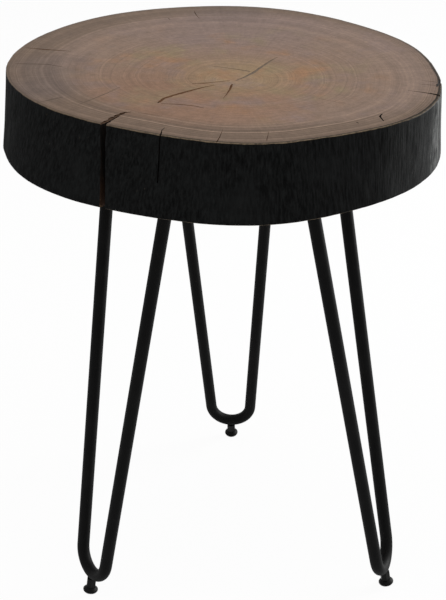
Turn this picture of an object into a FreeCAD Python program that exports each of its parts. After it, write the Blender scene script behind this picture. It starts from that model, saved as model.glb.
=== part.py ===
"""Side table: a slab cut across a trunk, on three bent-bar legs with levelling feet.

Millimetres, +Z up. The origin is on the floor under the middle of the table, and the
table is seen from -Y: two legs stand in front, left and right, and one at the rear.
"""
import FreeCAD, Part
import os
import Sketcher

# Driving dimensions. Angles are in degrees, everything else in millimetres.
SIZES = {
    # slab
    "table_height": 508,
    "slab_radius": 190,
    "slab_thick": 64,
    "edge_ease": 1.2,
    # drying checks: bearing round the slab, how far in from the slab radius each one
    # starts, its width at the slab radius, how deep it goes and how it leans on the way down
    "check_overrun": 25,
    "check_rise": 2,
    "main_check_bearing": 237.5,
    "main_check_reach": 53.5,
    "main_check_width": 5.6,
    "main_check_depth": 70,
    "main_check_lean": 9.5,
    "second_check_bearing": 255.1,
    "second_check_reach": 35,
    "second_check_width": 2.4,
    "second_check_depth": 51,
    "second_check_lean": -1.2,
    "right_check_bearing": 337.3,
    "right_check_reach": 14,
    "right_check_width": 1.2,
    "right_check_depth": 45,
    "right_check_lean": 1,
    # where each leg is screwed on: inset of its plate from the slab radius, bearing of
    # the plate round the table, and the way that the leg leans out
    "front_left_inset": 102.8,
    "front_left_bearing": 217.3,
    "front_left_turn": 214,
    "front_right_inset": 80.2,
    "front_right_bearing": 325.2,
    "front_right_turn": 341.8,
    "rear_inset": 74.8,
    "rear_bearing": 88.3,
    "rear_turn": 85.4,
    # hairpin bar
    "bar_diameter": 12,
    "bar_spread": 102.7,
    "bend_radius": 22.3,
    "leg_splay": 9.69,
    "weld_leg": 4,
    "weld_root": 1.5,
    # mounting plate and its screws
    "plate_overhang": 13.65,
    "plate_width": 46,
    "plate_thick": 4,
    "plate_corner": 8,
    "hole_out": 15,
    "hole_along": 27,
    "hole_clearance": 0.3,
    "screw_diameter": 5,
    "screw_length": 34,
    "screw_tip": 5,
    "screw_pitch": 2.2,
    "screw_thread_depth": 0.7,
    "screw_crest": 0.5,
    "screw_plain": 4.5,
    "pilot_clearance": 0.1,
    "pilot_end_gap": 1,
    "head_diameter": 9.2,
    "head_height": 3.2,
    "head_rim": 1.4,
    "recess_span": 4.8,
    "recess_width": 1.1,
    "recess_depth": 1.7,
    # levelling foot
    "stud_diameter": 6,
    "stud_clearance": 0.1,
    "stud_end_gap": 0.5,
    "stud_chamfer": 0.6,
    "thread_pitch": 1,
    "thread_depth": 0.5,
    "thread_crest": 0.2,
    "bore_depth": 9.5,
    "seat_gap": 0.3,
    "collar_across": 8.5,
    "collar_height": 9.6,
    "journal_diameter": 4.2,
    "flange_diameter": 6,
    "flange_thick": 0.8,
    "swivel_clearance": 0.1,
    "base_radius": 7.3,
    "base_height": 6.2,
    "base_floor": 1.9,
    "base_shoulder": 4.8,
    "base_rim_top": 3.8,
    "base_rim_low": 2.2,
    "base_foot_radius": 6.3,
    "dome_radius": 20,
}

# The natural rim: how far it stands out from the slab radius at even steps round the
# slab, anticlockwise from +X, along the top edge and along the bottom edge.
TOP_SWELL = (1, -2, -5, -1, 4.5, 6, 9, 8, 5, -0.5, -9.5, -17.5, -21.5, -14.5, -0.5, 4.5, 15, 10.5)
LOW_SWELL = (5, 0, -3, 1, 7.5, 10.5, 10, 10.5, 8.5, 5.5, 4, 2, -1.5, 2.5, 12, 12.5, 15, 12.5)
RIM_STEP = 360 // len(TOP_SWELL)

LEGS = ("front_left", "front_right", "rear")
CHECKS = ("main_check", "second_check", "right_check")
SIDES = (-1, 1)

# Heights along a foot's own axis, from the lowest point of its dome.
FLANGE_LOW = "(sizes.base_floor + sizes.swivel_clearance)"
FLANGE_TOP = f"({FLANGE_LOW} + sizes.flange_thick)"
COLLAR_LOW = "(sizes.base_height + sizes.swivel_clearance)"
COLLAR_TOP = f"({COLLAR_LOW} + sizes.collar_height)"
BAR_UNDERSIDE = f"({COLLAR_TOP} + sizes.seat_gap)"
BEND_HEIGHT = f"({BAR_UNDERSIDE} + sizes.bar_diameter / 2)"
STUD_TOP = f"({BAR_UNDERSIDE} + sizes.bore_depth - sizes.stud_end_gap)"

# The leaning length of a leg, from the slab's underside to the dome's lowest point and
# to the middle of the bar at the bend. The dome's centre is one dome radius off the floor.
FOOT_REACH = (
    "((sizes.table_height - sizes.slab_thick - sizes.dome_radius) / cos(sizes.leg_splay)"
    " + sizes.dome_radius)"
)
BEND_REACH = f"({FOOT_REACH} - {BEND_HEIGHT})"


def make_sheet(doc):
    """Put every driving dimension in a spreadsheet, each under its own name."""
    sheet = doc.addObject("Spreadsheet::Sheet", "sizes")
    cells = dict(SIZES)
    for index, (top, low) in enumerate(zip(TOP_SWELL, LOW_SWELL)):
        cells[f"top_swell_{index * RIM_STEP}"] = top
        cells[f"low_swell_{index * RIM_STEP}"] = low
    for row, (name, value) in enumerate(cells.items(), start=1):
        sheet.set(f"A{row}", name)
        sheet.set(f"B{row}", str(value))
        sheet.setAlias(f"B{row}", name)
    doc.recompute()
    return sheet


def placement(x="0", y="0", z="0", yaw="0", pitch="0", roll="0"):
    """Expression for a placement: a move, and turns about Z, then Y, then X."""
    return (
        f"create(<<placement>>; create(<<vector>>; {x}; {y}; {z});"
        f" create(<<rotation>>; {yaw}; {pitch}; {roll}))"
    )


def leg_point(leg, out="0", along="0"):
    """Plan position of a point given in a leg's frame: out from the table, along its plate."""
    reach = f"(sizes.slab_radius - sizes.{leg}_inset)"
    bearing = f"sizes.{leg}_bearing"
    turn = f"sizes.{leg}_turn"
    x = f"{reach} * cos({bearing}) + ({out}) * cos({turn}) - ({along}) * sin({turn})"
    y = f"{reach} * sin({bearing}) + ({out}) * sin({turn}) + ({along}) * cos({turn})"
    return x, y


def place_in_leg(piece, leg, out="0", along="0", up="0"):
    """Stand a piece in a leg's frame, whose level is the slab's underside."""
    height = f"sizes.table_height - sizes.slab_thick + ({up})"
    where = placement(*leg_point(leg, out, along), height, yaw=f"sizes.{leg}_turn")
    piece.setExpression("Placement", where)


def place_on_foot(piece, leg):
    """Set a piece on a foot's axis, which leans with its leg, from the dome's lowest point."""
    out = f"{FOOT_REACH} * sin(sizes.leg_splay)"
    height = f"sizes.table_height - sizes.slab_thick - {FOOT_REACH} * cos(sizes.leg_splay)"
    where = placement(*leg_point(leg, out), height, f"sizes.{leg}_turn", "-sizes.leg_splay")
    piece.setExpression("Placement", where)


def new_body(doc, label):
    """Start a body whose label names its file."""
    body = doc.addObject("PartDesign::Body", label)
    body.Label = label
    return body


def origin_feature(body, role):
    """One of the body's own planes or axes."""
    return next(item for item in body.Origin.OriginFeatures if item.Role == role)


def new_sketch(body, name, role, offset=None):
    """Start a sketch on one of the body's own planes, moved by an offset if one is given."""
    sketch = body.newObject("Sketcher::SketchObject", name)
    sketch.AttachmentSupport = [(origin_feature(body, role), "")]
    sketch.MapMode = "FlatFace"
    if offset:
        sketch.setExpression("AttachmentOffset", offset)
    return sketch


def bind_point(sketch, geometry, vertex, x, y):
    """Tie a sketch point to two expressions for its coordinates."""
    for kind, axis, text in (("DistanceX", -2, x), ("DistanceY", -1, y)):
        value = sketch.evalExpression(text)
        if text == "0":
            sketch.addConstraint(Sketcher.Constraint("PointOnObject", geometry, vertex, axis))
            continue
        ends = (-1, 1, geometry, vertex) if value > 0 else (geometry, vertex, -1, 1)
        index = sketch.addConstraint(Sketcher.Constraint(kind, *ends, abs(value)))
        sketch.setExpression(f"Constraints[{index}]", text if value > 0 else f"-({text})")


def vector(sketch, point):
    """The present place of a point that is given by two expressions."""
    return FreeCAD.Vector(*(sketch.evalExpression(text) for text in point), 0)


def add_polygon(sketch, points, dome_from=None):
    """Draw a closed outline through points given as expressions.

    Where dome_from names a point's index, the side from that point to the next is an arc
    whose centre lies on the sketch's upright axis.
    """
    first = sketch.GeometryCount
    count = len(points)
    for index in range(count):
        start = vector(sketch, points[index])
        end = vector(sketch, points[(index + 1) % count])
        if index == dome_from:
            sketch.addGeometry(dome_arc(start, end))
        else:
            sketch.addGeometry(Part.LineSegment(start, end))
    for index in range(count):
        following = first + (index + 1) % count
        last_vertex = 1 if index == dome_from else 2
        next_vertex = 2 if (index + 1) % count == dome_from else 1
        ends = (first + index, last_vertex, following, next_vertex)
        sketch.addConstraint(Sketcher.Constraint("Coincident", *ends))
    for index, (x, y) in enumerate(points):
        bind_point(sketch, first + index, 2 if index == dome_from else 1, x, y)
    if dome_from is not None:
        sketch.addConstraint(Sketcher.Constraint("PointOnObject", first + dome_from, 3, -2))


def dome_arc(start, end):
    """The arc between a point off the upright axis and one on it, centred on that axis."""
    rise = start.y - end.y
    centre = end.y + (start.x**2 + rise**2) / (2 * rise)
    radius = abs(centre - end.y)
    circle = Part.Circle(FreeCAD.Vector(0, centre, 0), FreeCAD.Vector(0, 0, 1), radius)
    return Part.ArcOfCircle(circle, circle.parameter(end), circle.parameter(start))


def add_circle(sketch, x, y, diameter):
    """Draw a circle whose centre and diameter are given as expressions."""
    centre = vector(sketch, (x, y))
    radius = sketch.evalExpression(diameter) / 2
    circle = sketch.addGeometry(Part.Circle(centre, FreeCAD.Vector(0, 0, 1), radius))
    bind_point(sketch, circle, 3, x, y)
    index = sketch.addConstraint(Sketcher.Constraint("Diameter", circle, 2 * radius))
    sketch.setExpression(f"Constraints[{index}]", diameter)


def add_screw_circles(sketch, diameter):
    """Draw the four screw holes of a mounting plate."""
    for out in SIDES:
        for along in SIDES:
            add_circle(sketch, f"{out} * sizes.hole_out", f"{along} * sizes.hole_along", diameter)


def add_feature(body, kind, name, profile, **expressions):
    """Add a feature made from one sketch, with its sizes given as expressions."""
    feature = body.newObject(f"PartDesign::{kind}", name)
    feature.Profile = profile
    for size, text in expressions.items():
        feature.setExpression(size, text)
    return feature


def turn_feature(body, kind, name, profile):
    """Add a full turn of a sketch about its own upright axis."""
    feature = add_feature(body, kind, name, profile)
    feature.ReferenceAxis = (profile, ["V_Axis"])
    feature.Angle = 360
    return feature


def repeat_up(body, name, groove, pitch, count):
    """Repeat a groove along the body's own Z axis, once for each pitch."""
    pattern = body.newObject("PartDesign::LinearPattern", name)
    pattern.Originals = [groove]
    pattern.Direction = (origin_feature(body, "Z_Axis"), [""])
    pattern.setExpression("Length", f"{pitch} * ({count} - 1)")
    pattern.setExpression("Occurrences", count)
    body.Tip = pattern
    return pattern


def rim_wire(sheet, edge, inset, height):
    """A closed smooth curve through the natural rim's points, drawn in by an inset."""
    points = []
    for index in range(len(TOP_SWELL)):
        bearing = index * RIM_STEP
        radius = sheet.get("slab_radius") + sheet.get(f"{edge}_swell_{bearing}") - inset
        turn = FreeCAD.Rotation(FreeCAD.Vector(0, 0, 1), bearing)
        points.append(turn.multVec(FreeCAD.Vector(radius, 0, 0)) + FreeCAD.Vector(0, 0, height))
    curve = Part.BSplineCurve()
    curve.interpolate(Points=points, PeriodicFlag=True)
    return Part.Wire(curve.toShape())


def make_slab(doc, sheet):
    """The trunk slab: natural rim, eased edges, drying checks and the screws' pilot holes."""
    thick = sheet.get("slab_thick")
    ease = sheet.get("edge_ease")
    blank = doc.addObject("Part::Feature", "slab_blank")
    sections = [
        rim_wire(sheet, "low", ease, 0),
        rim_wire(sheet, "low", 0, ease),
        rim_wire(sheet, "top", 0, thick - ease),
        rim_wire(sheet, "top", ease, thick),
    ]
    blank.Shape = Part.makeLoft(sections, True, True)
    body = new_body(doc, "slab_top")
    body.BaseFeature = blank
    doc.recompute()
    for check in CHECKS:
        cut_check(body, check)
    for leg in LEGS:
        cut_pilot_holes(body, leg)
    body.setExpression("Placement", placement(z="sizes.table_height - sizes.slab_thick"))
    return body


def cut_check(body, check):
    """Cut one drying check: a wedge that opens towards the rim, cut down from above the top."""
    level = "sizes.slab_thick + sizes.check_rise"
    offset = placement(z=level, yaw=f"sizes.{check}_bearing", roll=f"sizes.{check}_lean")
    sketch = new_sketch(body, f"{check}_outline", "XY_Plane", offset)
    reach = f"sizes.{check}_reach"
    far = "(sizes.slab_radius + sizes.check_overrun)"
    half = f"sizes.{check}_width / 2 * ({reach} + sizes.check_overrun) / {reach}"
    tip = f"(sizes.slab_radius - {reach})"
    add_polygon(sketch, [(tip, "0"), (far, f"-({half})"), (far, half)])
    depth = f"(sizes.{check}_depth + sizes.check_rise) / cos(sizes.{check}_lean)"
    add_feature(body, "Pocket", check, sketch, Length=depth)


def cut_pilot_holes(body, leg):
    """Bore the four pilot holes of one plate, up from the slab's underside."""
    offset = placement(*leg_point(leg), yaw=f"sizes.{leg}_turn")
    sketch = new_sketch(body, f"pilot_outline_{leg}", "XY_Plane", offset)
    add_screw_circles(sketch, "sizes.screw_diameter + 2 * sizes.pilot_clearance")
    depth = "sizes.screw_length - sizes.plate_thick + sizes.pilot_end_gap"
    pocket = add_feature(body, "Pocket", f"pilot_holes_{leg}", sketch, Length=depth)
    pocket.Reversed = True


def make_plate(doc, leg):
    """The flat plate that a leg is welded to, with rounded corners and four screw holes."""
    body = new_body(doc, f"mounting_plate_{leg}")
    outline = new_sketch(body, f"plate_outline_{leg}", "XY_Plane")
    half_width = "sizes.plate_width / 2"
    half_length = "(sizes.bar_spread / 2 + sizes.plate_overhang)"
    corners = [
        (f"-({half_width})", f"-({half_length})"),
        (half_width, f"-({half_length})"),
        (half_width, half_length),
        (f"-({half_width})", half_length),
    ]
    add_polygon(outline, corners)
    pad = add_feature(body, "Pad", f"plate_blank_{leg}", outline, Length="sizes.plate_thick")
    pad.Reversed = True
    doc.recompute()
    upright = [
        f"Edge{index}"
        for index, edge in enumerate(pad.Shape.Edges, start=1)
        if abs(edge.tangentAt(edge.FirstParameter).z) > 0.5
    ]
    corner = body.newObject("PartDesign::Fillet", f"plate_corners_{leg}")
    corner.Base = (pad, upright)
    corner.setExpression("Radius", "sizes.plate_corner")
    holes = new_sketch(body, f"plate_hole_outline_{leg}", "XY_Plane")
    add_screw_circles(holes, "sizes.screw_diameter + 2 * sizes.hole_clearance")
    add_feature(body, "Pocket", f"plate_holes_{leg}", holes, Length="sizes.plate_thick")
    place_in_leg(body, leg)
    return body


def make_bar(doc, leg):
    """One round bar bent to a hairpin, flush with its plate, bored at the bend for its stud."""
    body = new_body(doc, f"hairpin_bar_{leg}")
    lean = placement(roll="-sizes.leg_splay")
    spine = new_sketch(body, f"bar_line_{leg}", "YZ_Plane", lean)
    draw_hairpin(spine)
    doc.recompute()
    section = body.newObject("Sketcher::SketchObject", f"bar_section_{leg}")
    section.AttachmentSupport = [(spine, "Edge1")]
    section.MapMode = "NormalToEdge"
    add_circle(section, "0", "0", "sizes.bar_diameter")
    pipe = add_feature(body, "AdditivePipe", f"bar_bent_{leg}", section)
    pipe.Spine = (spine, ["Edge1", "Edge2", "Edge3"])
    doc.recompute()

    level = placement(z="-sizes.plate_thick")
    above = new_sketch(body, f"bar_end_outline_{leg}", "XY_Plane", level)
    side = "sizes.bar_spread / 2 + sizes.bar_diameter"
    deep = "sizes.bar_diameter"
    corners = [(f"-({deep})", f"-({side})"), (deep, f"-({side})"), (deep, side), (f"-({deep})", side)]
    add_polygon(above, corners)
    room = "sizes.plate_thick + sizes.bar_diameter"
    ends = add_feature(body, "Pocket", f"bar_ends_{leg}", above, Length=room)
    ends.Reversed = True

    bore = new_sketch(body, f"bore_outline_{leg}", "YZ_Plane", lean)
    radius = "sizes.stud_diameter / 2 + sizes.stud_clearance"
    mouth = f"-({BEND_REACH} + sizes.bar_diameter)"
    bottom = f"-({BEND_REACH} + sizes.bar_diameter / 2 - sizes.bore_depth)"
    add_polygon(bore, [("0", mouth), (radius, mouth), (radius, bottom), ("0", bottom)])
    turn_feature(body, "Groove", f"stud_bore_{leg}", bore)
    place_in_leg(body, leg)
    return body


def draw_hairpin(sketch):
    """Draw the bar's middle line: two straight runs, tangent to one round bend."""
    half = sketch.evalExpression("sizes.bar_spread / 2")
    radius = sketch.evalExpression("sizes.bend_radius")
    centre_text = f"-({BEND_REACH} - sizes.bend_radius)"
    centre = FreeCAD.Vector(0, sketch.evalExpression(centre_text), 0)
    up = FreeCAD.Vector(0, 0, 1)
    right = FreeCAD.Vector(half, 0, 0)
    left = FreeCAD.Vector(-half, 0, 0)
    touch = FreeCAD.Vector(radius, centre.y, 0)
    other = FreeCAD.Vector(-radius, centre.y, 0)
    circle = Part.Circle(centre, up, radius)
    full_turn = circle.LastParameter
    bend = Part.ArcOfCircle(circle, circle.parameter(other), circle.parameter(touch) + full_turn)
    sketch.addGeometry([Part.LineSegment(right, touch), bend, Part.LineSegment(other, left)])
    sketch.addConstraint(Sketcher.Constraint("Tangent", 0, 2, 1, 2))
    sketch.addConstraint(Sketcher.Constraint("Tangent", 1, 1, 2, 1))
    bind_point(sketch, 1, 3, "0", centre_text)
    bind_point(sketch, 0, 1, "sizes.bar_spread / 2", "0")
    bind_point(sketch, 2, 2, "-sizes.bar_spread / 2", "0")
    index = sketch.addConstraint(Sketcher.Constraint("Radius", 1, radius))
    sketch.setExpression(f"Constraints[{index}]", "sizes.bend_radius")


def make_welds(doc, leg, bar):
    """The two weld beads that hold a bar to its plate, one round each end."""
    root = "(sizes.bar_diameter / 2 - sizes.weld_root)"
    toe = "(sizes.bar_diameter / 2 + sizes.weld_leg)"
    height = f"({toe} - {root})"
    beads = []
    for number, side in enumerate(SIDES, start=1):
        cone = doc.addObject("Part::Cone", f"weld_cone_{leg}_{number}")
        cone.setExpression("Radius1", root)
        cone.setExpression("Radius2", toe)
        cone.setExpression("Height", height)
        out = "sizes.plate_thick * tan(sizes.leg_splay)"
        along = f"{side} * sizes.bar_spread / 2"
        place_in_leg(cone, leg, out, along, f"-sizes.plate_thick - {height}")
        bead = doc.addObject("Part::Cut", f"weld_bead_{leg}_{number}")
        bead.Base = cone
        bead.Tool = bar
        beads.append(bead)
    welds = doc.addObject("Part::Compound", f"plate_welds_{leg}")
    welds.Label = f"plate_welds_{leg}"
    welds.Links = beads
    return welds


def make_screws(doc, leg):
    """The four screws that hold a plate to the slab, as one group."""
    screws = []
    for out in SIDES:
        for along in SIDES:
            screw = make_screw(doc, f"screw_{leg}_{len(screws) + 1}")
            hole = (f"{out} * sizes.hole_out", f"{along} * sizes.hole_along")
            place_in_leg(screw, leg, *hole, "-sizes.plate_thick")
            screws.append(screw)
    group = doc.addObject("Part::Compound", f"plate_screws_{leg}")
    group.Label = f"plate_screws_{leg}"
    group.Links = screws
    return group


def make_screw(doc, name):
    """A pan head wood screw with a cross recess, point up, its head's seat at its own origin."""
    body = new_body(doc, name)
    profile = new_sketch(body, f"{name}_profile", "XZ_Plane")
    shank = "sizes.screw_diameter / 2"
    points = [
        ("sizes.head_diameter / 2", "-sizes.head_rim"),
        ("0", "-sizes.head_height"),
        ("0", "sizes.screw_length"),
        (shank, "sizes.screw_length - sizes.screw_tip"),
        (shank, "0"),
        ("sizes.head_diameter / 2", "0"),
    ]
    add_polygon(profile, points, dome_from=0)
    turn_feature(body, "Revolution", f"{name}_blank", profile)
    doc.recompute()

    recess = new_sketch(body, f"{name}_recess_outline", "XY_Plane", placement(z="-sizes.head_height"))
    arm = "sizes.recess_span / 2"
    slot = "sizes.recess_width / 2"
    add_polygon(recess, quarter_turns([(arm, f"-({slot})"), (arm, slot), (slot, slot)]))
    cut = add_feature(body, "Pocket", f"{name}_recess", recess, Length="sizes.recess_depth")
    cut.Reversed = True

    groove = new_sketch(body, f"{name}_groove_outline", "XZ_Plane")
    size = ("sizes.screw_thread_depth", "sizes.screw_pitch", "sizes.screw_crest", "sizes.screw_plain")
    add_polygon(groove, groove_points(shank, *size))
    first = turn_feature(body, "Groove", f"{name}_groove", groove)
    doc.recompute()
    run = "(sizes.screw_length - sizes.screw_tip - sizes.screw_plain)"
    repeat_up(body, f"{name}_thread", first, "sizes.screw_pitch", f"floor({run} / sizes.screw_pitch)")
    return body


def quarter_turns(corners):
    """An outline made of one set of corners, repeated at each quarter turn."""
    points = []
    for _ in range(4):
        points += corners
        corners = [(f"-({y})", x) for x, y in corners]
    return points


def groove_points(radius, depth, pitch, crest, start):
    """A thread groove's section: a vee that leaves a narrow crest at each pitch."""
    opening = f"({pitch} - {crest})"
    middle = f"({start} + {opening} / 2)"
    outside = f"{radius} + {depth}"
    return [
        (f"{radius} - {depth}", middle),
        (outside, f"{middle} - {opening}"),
        (outside, f"{middle} + {opening}"),
    ]


def make_stud(doc, leg):
    """A levelling stud: thread above, hex collar, and a flanged end that turns in the base."""
    body = new_body(doc, f"foot_stud_{leg}")
    profile = new_sketch(body, f"stud_profile_{leg}", "XZ_Plane")
    shank = "sizes.stud_diameter / 2"
    journal = "sizes.journal_diameter / 2"
    flange = "sizes.flange_diameter / 2"
    points = [
        ("0", FLANGE_LOW),
        (flange, FLANGE_LOW),
        (flange, FLANGE_TOP),
        (journal, FLANGE_TOP),
        (journal, COLLAR_LOW),
        (shank, COLLAR_LOW),
        (shank, f"{STUD_TOP} - sizes.stud_chamfer"),
        (f"{shank} - sizes.stud_chamfer", STUD_TOP),
        ("0", STUD_TOP),
    ]
    add_polygon(profile, points)
    turn_feature(body, "Revolution", f"stud_blank_{leg}", profile)

    hexagon = new_sketch(body, f"collar_outline_{leg}", "XY_Plane", placement(z=COLLAR_LOW))
    flat = "sizes.collar_across / 2"
    corner = f"({flat} / cos(30))"
    upper = [(corner, "0"), (f"{corner} / 2", flat), (f"-{corner} / 2", flat)]
    lower = [(f"-{corner}", "0"), (f"-{corner} / 2", f"-({flat})"), (f"{corner} / 2", f"-({flat})")]
    add_polygon(hexagon, upper + lower)
    add_feature(body, "Pad", f"collar_{leg}", hexagon, Length="sizes.collar_height")
    doc.recompute()

    groove = new_sketch(body, f"thread_outline_{leg}", "XZ_Plane")
    level = f"({COLLAR_TOP} + sizes.thread_pitch / 2)"
    size = ("sizes.thread_depth", "sizes.thread_pitch", "sizes.thread_crest", level)
    add_polygon(groove, groove_points(shank, *size))
    first = turn_feature(body, "Groove", f"thread_groove_{leg}", groove)
    doc.recompute()
    run = f"({STUD_TOP} - sizes.stud_chamfer - {level})"
    repeat_up(body, f"thread_{leg}", first, "sizes.thread_pitch", f"floor({run} / sizes.thread_pitch)")
    place_on_foot(body, leg)
    return body


def make_base(doc, leg):
    """A foot's base: domed below, cones to its rim, hollow for the stud's flange."""
    body = new_body(doc, f"foot_base_{leg}")
    profile = new_sketch(body, f"base_profile_{leg}", "XZ_Plane")
    bore = "(sizes.journal_diameter / 2 + sizes.swivel_clearance)"
    pocket = "(sizes.flange_diameter / 2 + sizes.swivel_clearance)"
    ceiling = f"({FLANGE_TOP} + sizes.swivel_clearance)"
    rim = "sizes.base_radius"
    edge = "sizes.base_foot_radius"
    dome = f"sizes.dome_radius - sqrt(sizes.dome_radius^2 - {edge}^2)"
    points = [
        (edge, dome),
        ("0", "0"),
        ("0", "sizes.base_floor"),
        (pocket, "sizes.base_floor"),
        (pocket, ceiling),
        (bore, ceiling),
        (bore, "sizes.base_height"),
        ("sizes.base_shoulder", "sizes.base_height"),
        (rim, "sizes.base_rim_top"),
        (rim, "sizes.base_rim_low"),
    ]
    add_polygon(profile, points, dome_from=0)
    turn_feature(body, "Revolution", f"base_turned_{leg}", profile)
    place_on_foot(body, leg)
    return body


def check_document(doc, pieces):
    """Stop if anything in the document failed, or a piece isn't a sound solid."""
    for item in doc.Objects:
        if {"Invalid", "Error"} & set(item.State):
            raise RuntimeError(f"{item.Label} failed: {item.State}")
    for piece, solids in pieces:
        shape = piece.Shape
        if shape.isNull() or not shape.isValid():
            raise RuntimeError(f"{piece.Label} has no sound shape")
        if len(shape.Solids) != solids:
            raise RuntimeError(f"{piece.Label} has {len(shape.Solids)} solids, not {solids}")


def main():
    """Build every piece, check them all, and write one file for each."""
    doc = FreeCAD.newDocument("side_table")
    sheet = make_sheet(doc)
    pieces = [(make_slab(doc, sheet), 1)]
    for leg in LEGS:
        bar = make_bar(doc, leg)
        pieces += [
            (make_plate(doc, leg), 1),
            (bar, 1),
            (make_welds(doc, leg, bar), 2),
            (make_screws(doc, leg), 4),
            (make_stud(doc, leg), 1),
            (make_base(doc, leg), 1),
        ]
    doc.recompute()
    check_document(doc, pieces)
    os.makedirs("parts", exist_ok=True)
    for piece, solids in pieces:
        piece.Shape.exportStep(f"parts/{piece.Label}.step")
        print(f"{piece.Label}: {solids} solids, {piece.Shape.Volume:.1f} mm3")


main()
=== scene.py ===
"""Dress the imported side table: a trunk slab on three hairpin legs with levelling feet.

Lengths are in metres and angles in degrees unless a name says otherwise. The frame is the
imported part's own: +Z up from the floor, with the viewer on the -Y side.
"""

import logging
import math
import random
from dataclasses import dataclass
from enum import Enum
from typing import Dict, Iterable, List, Optional, Sequence, Tuple, Union

import bmesh
import bpy
import numpy as np
from mathutils import Matrix, Vector, noise


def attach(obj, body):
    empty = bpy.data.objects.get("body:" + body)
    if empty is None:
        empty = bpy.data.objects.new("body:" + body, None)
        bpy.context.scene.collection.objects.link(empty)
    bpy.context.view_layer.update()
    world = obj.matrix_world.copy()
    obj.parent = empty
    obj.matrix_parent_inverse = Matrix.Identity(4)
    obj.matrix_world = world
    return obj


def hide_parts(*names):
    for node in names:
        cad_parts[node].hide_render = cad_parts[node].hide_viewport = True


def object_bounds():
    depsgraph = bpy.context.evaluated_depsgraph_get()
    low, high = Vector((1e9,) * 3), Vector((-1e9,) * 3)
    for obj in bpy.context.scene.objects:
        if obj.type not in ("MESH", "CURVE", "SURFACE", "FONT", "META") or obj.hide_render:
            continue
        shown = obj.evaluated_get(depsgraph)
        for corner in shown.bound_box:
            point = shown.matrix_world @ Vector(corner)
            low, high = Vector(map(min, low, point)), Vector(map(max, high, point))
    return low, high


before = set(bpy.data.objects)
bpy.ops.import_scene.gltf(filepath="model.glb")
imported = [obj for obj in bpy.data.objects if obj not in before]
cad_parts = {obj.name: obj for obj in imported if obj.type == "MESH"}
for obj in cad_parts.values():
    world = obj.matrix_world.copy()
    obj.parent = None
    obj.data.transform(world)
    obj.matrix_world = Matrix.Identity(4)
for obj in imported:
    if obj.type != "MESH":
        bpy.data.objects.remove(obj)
CAD_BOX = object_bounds()

LOG = logging.getLogger("side_table")
MM = 0.001
MERGE = 1e-6
FULL_TURN = 2 * math.pi
FLAT = (1, 1, 0)

Point = Tuple[float, float]
Triple = Tuple[float, float, float]
Row = Tuple[float, float, float, float]
Values = Tuple[float, ...]
Colour = Triple
Piece = bpy.types.Object
Material = bpy.types.Material
BMesh = bmesh.types.BMesh
Socket = bpy.types.NodeSocket
Feed = Union[float, Colour, Socket]
Inputs = Dict[Union[str, int], Feed]


class Leg(Enum):
    """The three legs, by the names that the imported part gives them."""

    FRONT_LEFT = "front_left"
    FRONT_RIGHT = "front_right"
    REAR = "rear"


def paint(red: float, green: float, blue: float) -> Colour:
    """Turn a colour as a screen shows it, 0 to 255, into light by the standard screen curve.

    Args:
        red, green, blue: the screen colour.

    Returns:
        The linear colour.
    """
    shares = (value / 255.0 for value in (red, green, blue))
    return tuple(s / 12.92 if s <= 0.04045 else ((s + 0.055) / 1.055) ** 2.4 for s in shares)


@dataclass(frozen=True)
class Grain:
    """A noise texture: its scale, octaves of detail, how much each adds, and its place.

    As a mask it comes in between the span's limits. The share is how strongly it shows.
    """

    scale: float
    detail: float = 3.0
    rough: float = 0.5
    stretch: Triple = (1, 1, 1)
    shift: Triple = (0, 0, 0)
    span: Point = (0.0, 1.0)
    share: float = 1.0


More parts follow.
